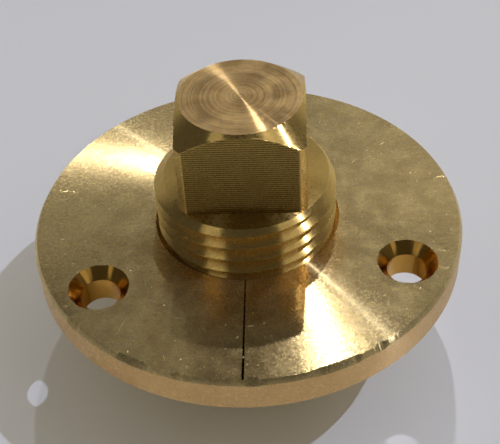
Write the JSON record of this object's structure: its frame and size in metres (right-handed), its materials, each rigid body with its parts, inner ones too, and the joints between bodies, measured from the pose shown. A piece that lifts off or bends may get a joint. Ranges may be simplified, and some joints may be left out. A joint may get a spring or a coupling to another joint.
{
  "type": "flanged pipe plug",
  "caption": "Round brass flange with countersunk screw holes, a threaded boss below it, and a square-head plug on a pipe thread that closes it over a sealing ring.",
  "frame": {"origin": "centre of the boss's bottom face, which is the bottom centre of the whole part", "axes": "+Z along the thread axis, out of the square head; +Y through one of the three screw holes; +X across the flange"},
  "size_m": [0.05, 0.05, 0.0346],
  "materials": {
    "flange_brass": "face-turned and lightly polished, with fine tool rings, scratches and dings; rim satin",
    "plug_brass": "turned thread and top, square flats left with fine milling lines",
    "seal_rubber": "matt moulded black"
  },
  "bodies": {
    "flange": {"flange": "flange_brass"},
    "seal": {"seal_ring": "seal_rubber"},
    "plug": {"plug": "plug_brass"}
  },
  "joints": [
    {"name": "plug_travel", "type": "slide", "parent": "flange", "child": "seal", "axis": [0, 0, 1], "range_m": [0, 0.00907]},
    {"name": "plug_turn", "type": "hinge", "parent": "seal", "child": "plug", "pos_m": [0, 0, 0.0175], "axis": [0, 0, 1], "range_deg": [0, 1800]}
  ],
  "couplings": [
    {"joint": "plug_turn", "follows": "plug_travel", "rad_per_m": 3463.2}
  ]
}
